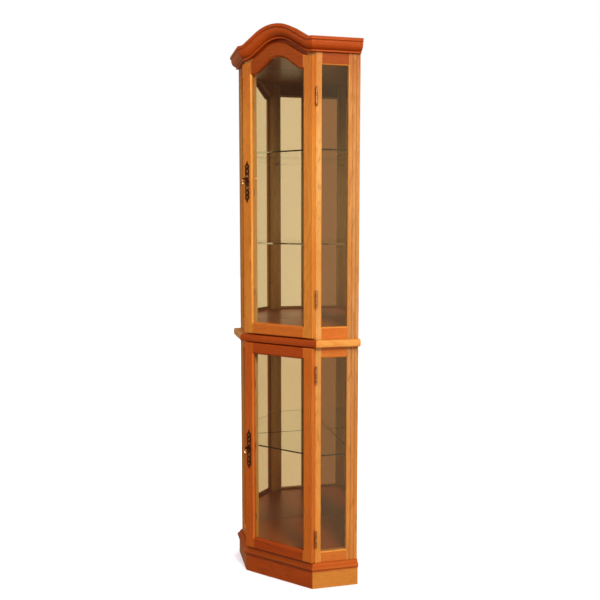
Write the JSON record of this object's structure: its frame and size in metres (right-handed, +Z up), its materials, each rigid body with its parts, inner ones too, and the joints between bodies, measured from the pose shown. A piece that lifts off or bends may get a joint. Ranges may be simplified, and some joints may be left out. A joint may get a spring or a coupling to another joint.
{
  "type": "corner china cabinet",
  "caption": "Tall corner display cabinet in oak with glazed upper and lower doors, glass sides, mirrored back, glass shelves and an arched crown.",
  "frame": {"origin": "on the floor, under the middle of the whole cabinet", "axes": "+Z up; the front faces -Y and the room corner is towards +Y; the doors hang on the +X side"},
  "size_m": [0.538, 0.4055, 1.905],
  "materials": {
    "oak": "honey oak under satin lacquer",
    "clear_glass": "clear polished float glass",
    "mirror_glass": "silvered mirror",
    "backing_board": "plain board, unlacquered",
    "antique_brass": "antiqued brass, darkened in the hollows",
    "plated_steel": "nickel plated",
    "clip_plastic": "moulded glass retainers and strike",
    "catch_plastic": "brown moulded magnetic catch"
  },
  "bodies": {
    "case": {"back_panel_left": "backing_board", "back_panel_right": "backing_board", "base_cap_front": "oak", "base_cap_left": "oak", "base_cap_right": "oak", "bottom_deck": "oak", "crown_front": "oak", "crown_left": "oak", "crown_right": "oak", "door_catches": "catch_plastic", "face_rails": "oak", "frieze": "oak", "front_post_left": "oak", "front_post_right": "oak", "hinge_case_leaves": "antique_brass", "hinge_pins": "antique_brass", "lower_glass_shelf": "clear_glass", "lower_mirror_left": "mirror_glass", "lower_mirror_right": "mirror_glass", "lower_side_glass_left": "clear_glass", "lower_side_glass_right": "clear_glass", "mid_deck": "oak", "middle_glass_shelf": "clear_glass", "plinth_back": "backing_board", "plinth_front": "oak", "plinth_left": "oak", "plinth_right": "oak", "rear_post_left": "oak", "rear_post_right": "oak", "roof_panel": "oak", "shelf_pins": "plated_steel", "side_glass_beads": "oak", "side_rails_left": "oak", "side_rails_right": "oak", "upper_glass_shelf": "clear_glass", "upper_mirror_left": "mirror_glass", "upper_mirror_right": "mirror_glass", "upper_side_glass_left": "clear_glass", "upper_side_glass_right": "clear_glass", "waist_front": "oak", "waist_left": "oak", "waist_right": "oak"},
    "lower_door": {"lower_door_bottom_rail": "oak", "lower_door_fittings": "clip_plastic", "lower_door_glass": "clear_glass", "lower_door_hinge_leaves": "antique_brass", "lower_door_stile_left": "oak", "lower_door_stile_right": "oak", "lower_door_top_rail": "oak", "lower_handle_plate": "antique_brass"},
    "upper_door": {"upper_door_bottom_rail": "oak", "upper_door_fittings": "clip_plastic", "upper_door_glass": "clear_glass", "upper_door_hinge_leaves": "antique_brass", "upper_door_stile_left": "oak", "upper_door_stile_right": "oak", "upper_door_top_rail": "oak", "upper_handle_plate": "antique_brass"},
    "lower_drop": {"lower_drop_pull": "antique_brass"},
    "upper_drop": {"upper_drop_pull": "antique_brass"}
  },
  "joints": [
    {"name": "lower_door_hinge", "type": "hinge", "parent": "case", "child": "lower_door", "pos_m": [0.1456, -0.15447, 0.465], "axis": [0, 0, 1], "range_deg": [0, 160]},
    {"name": "upper_door_hinge", "type": "hinge", "parent": "case", "child": "upper_door", "pos_m": [0.1456, -0.15447, 1.33], "axis": [0, 0, 1], "range_deg": [0, 160]},
    {"name": "lower_drop_swing", "type": "hinge", "parent": "lower_door", "child": "lower_drop", "pos_m": [-0.121, -0.19667, 0.465], "axis": [-1, 0, 0], "range_deg": [-35, 85]},
    {"name": "upper_drop_swing", "type": "hinge", "parent": "upper_door", "child": "upper_drop", "pos_m": [-0.121, -0.19667, 1.406], "axis": [-1, 0, 0], "range_deg": [-35, 85]}
  ]
}
